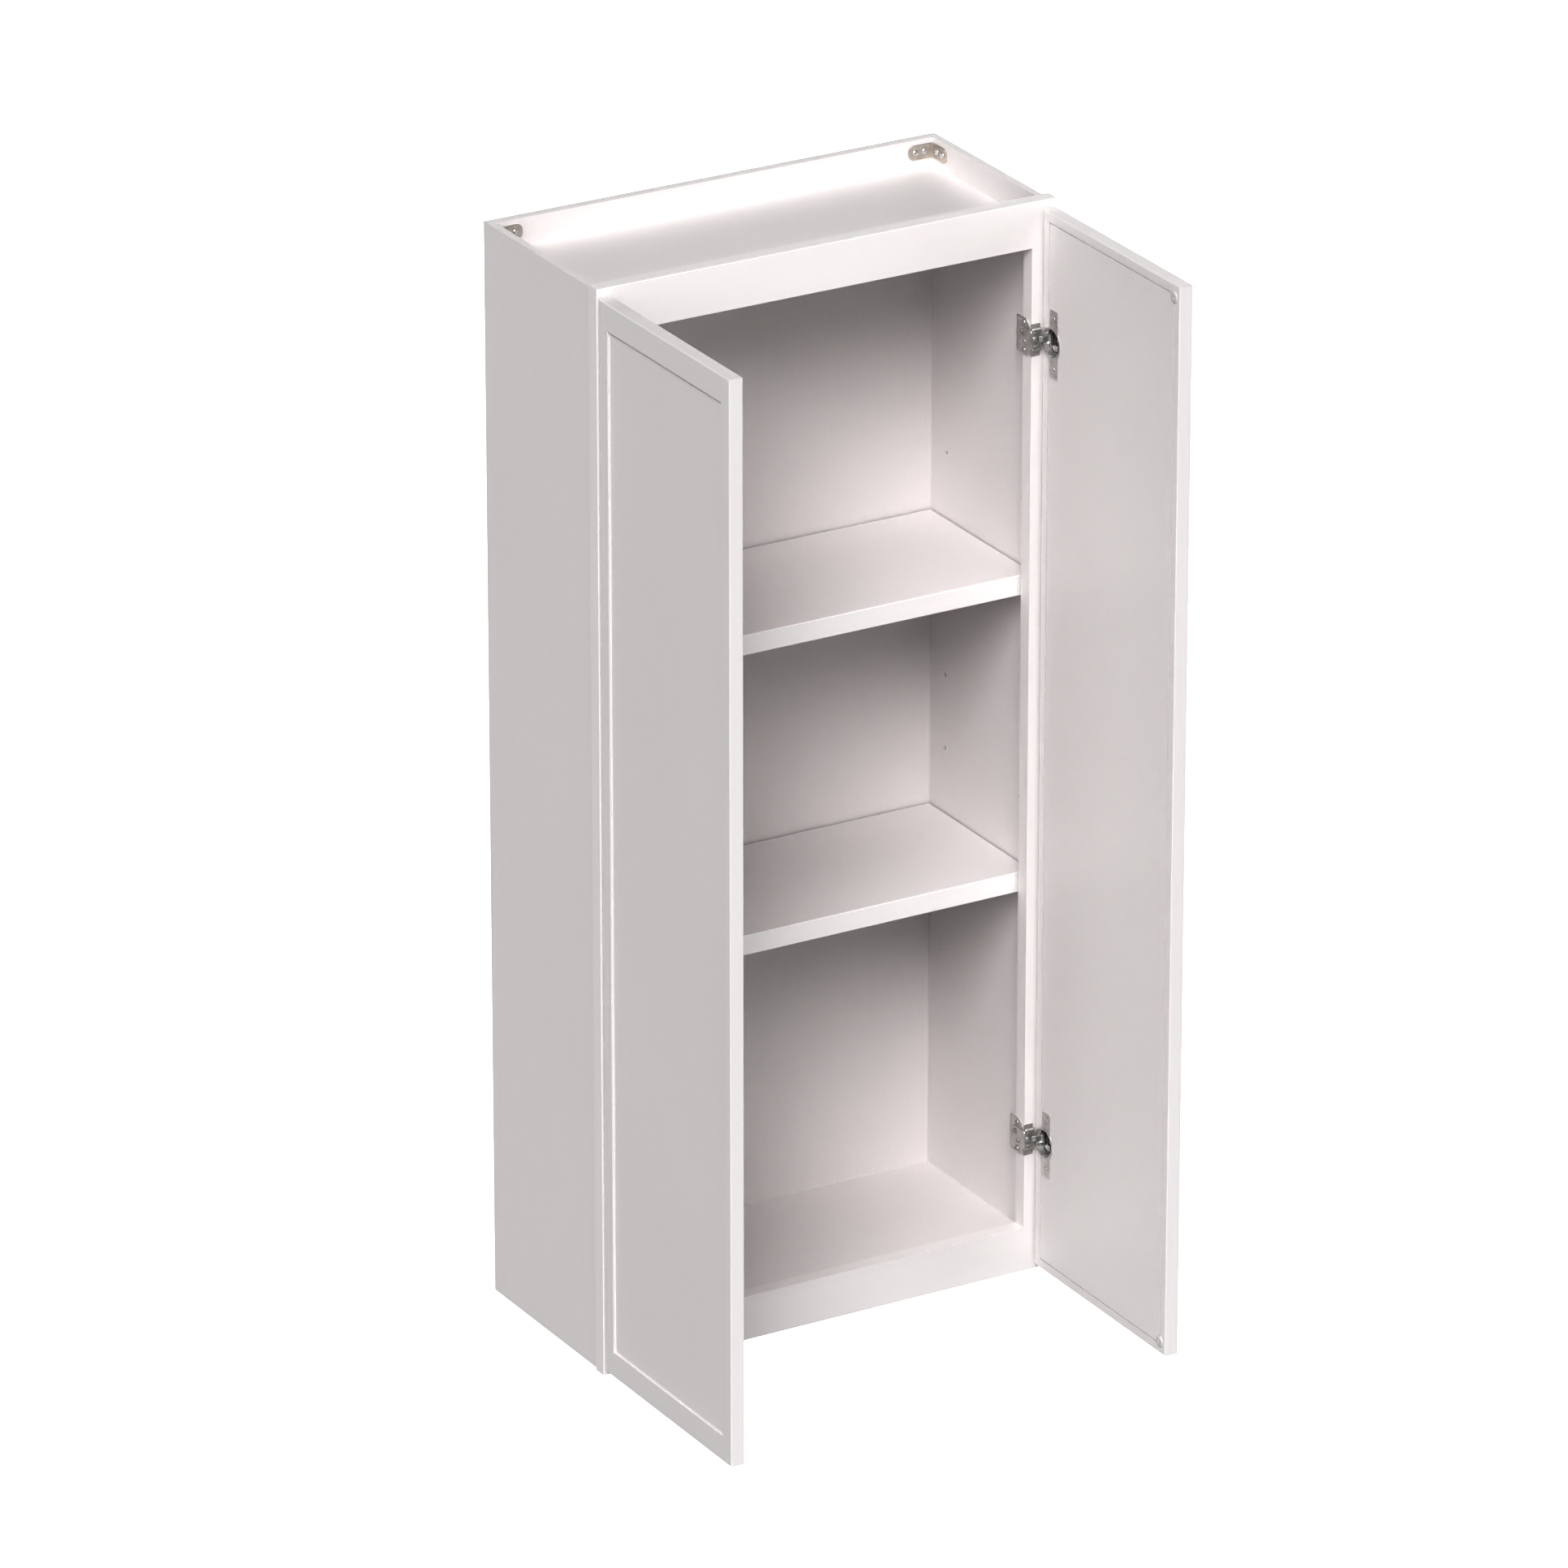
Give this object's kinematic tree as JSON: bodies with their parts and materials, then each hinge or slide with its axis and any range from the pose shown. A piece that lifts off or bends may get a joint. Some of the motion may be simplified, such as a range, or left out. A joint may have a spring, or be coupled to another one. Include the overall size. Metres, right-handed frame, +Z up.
{
  "type": "hanging wall cabinet",
  "caption": "Tall hanging wall cabinet with a face frame, paired slim-framed doors standing open on concealed hinges, and adjustable shelves on supports.",
  "frame": {"origin": "middle of the rear face, on the wall plane, half way up", "axes": "+Z up along the cabinet's height, +Y into the wall, +X to the right of a person who faces the doors"},
  "size_m": [0.6096, 0.5716, 1.363],
  "materials": {
    "door_paint": "satin white painted door",
    "frame_paint": "satin white painted face frame",
    "board_white": "satin white laminate over board",
    "dowel_beech": "bare beech",
    "hinge_nickel": "nickel-plated pressed steel",
    "bright_steel": "polished steel",
    "bracket_nickel": "satin nickel plate",
    "screw_steel": "zinc-plated steel",
    "support_steel": "zinc-plated steel",
    "damper": "dark moulded plastic",
    "bumper": "soft grey clear elastomer"
  },
  "bodies": {
    "cabinet": {"back_panel": "board_white", "bottom_panel": "board_white", "corner_bracket_left": "bracket_nickel", "corner_bracket_right": "bracket_nickel", "corner_bracket_screws_left": "screw_steel", "corner_bracket_screws_right": "screw_steel", "frame_dowels": "dowel_beech", "frame_rail_bottom": "frame_paint", "frame_rail_top": "frame_paint", "frame_stile_left": "frame_paint", "frame_stile_right": "frame_paint", "hinge_left_lower_adjusters": "screw_steel", "hinge_left_lower_arm": "hinge_nickel", "hinge_left_lower_bracket": "hinge_nickel", "hinge_left_upper_adjusters": "screw_steel", "hinge_left_upper_arm": "hinge_nickel", "hinge_left_upper_bracket": "hinge_nickel", "hinge_mount_screws_left": "screw_steel", "hinge_mount_screws_right": "screw_steel", "hinge_right_lower_adjusters": "screw_steel", "hinge_right_lower_arm": "hinge_nickel", "hinge_right_lower_bracket": "hinge_nickel", "hinge_right_upper_adjusters": "screw_steel", "hinge_right_upper_arm": "hinge_nickel", "hinge_right_upper_bracket": "hinge_nickel", "shelf_supports_lower": "support_steel", "shelf_supports_upper": "support_steel", "side_left": "board_white", "side_right": "board_white", "top_panel": "board_white"},
    "door_left": {"door_left_bumpers": "bumper", "door_left_panel": "door_paint", "door_left_rail_bottom": "door_paint", "door_left_rail_top": "door_paint", "door_left_stile_free": "door_paint", "door_left_stile_hinge": "door_paint", "hinge_cup_screws_left": "screw_steel", "hinge_dampers_left": "damper", "hinge_left_lower_cup": "hinge_nickel", "hinge_left_lower_pin": "bright_steel", "hinge_left_upper_cup": "hinge_nickel", "hinge_left_upper_pin": "bright_steel"},
    "door_right": {"door_right_bumpers": "bumper", "door_right_panel": "door_paint", "door_right_rail_bottom": "door_paint", "door_right_rail_top": "door_paint", "door_right_stile_free": "door_paint", "door_right_stile_hinge": "door_paint", "hinge_cup_screws_right": "screw_steel", "hinge_dampers_right": "damper", "hinge_right_lower_cup": "hinge_nickel", "hinge_right_lower_pin": "bright_steel", "hinge_right_upper_cup": "hinge_nickel", "hinge_right_upper_pin": "bright_steel"},
    "shelf_upper": {"shelf_upper": "board_white"},
    "shelf_lower": {"shelf_lower": "board_white"}
  },
  "joints": [
    {"name": "door_right_hinge", "type": "hinge", "parent": "cabinet", "child": "door_right", "pos_m": [0.2926, -0.2808, 0], "axis": [0, 0, 1], "range_deg": [-90, 10]},
    {"name": "door_left_hinge", "type": "hinge", "parent": "cabinet", "child": "door_left", "pos_m": [-0.2926, -0.2808, 0], "axis": [0, 0, -1], "range_deg": [-90, 10]},
    {"name": "shelf_upper_lift", "type": "slide", "parent": "cabinet", "child": "shelf_upper", "axis": [0, 0, 1], "range_m": [0, 0.05]},
    {"name": "shelf_lower_lift", "type": "slide", "parent": "cabinet", "child": "shelf_lower", "axis": [0, 0, 1], "range_m": [0, 0.05]}
  ]
}
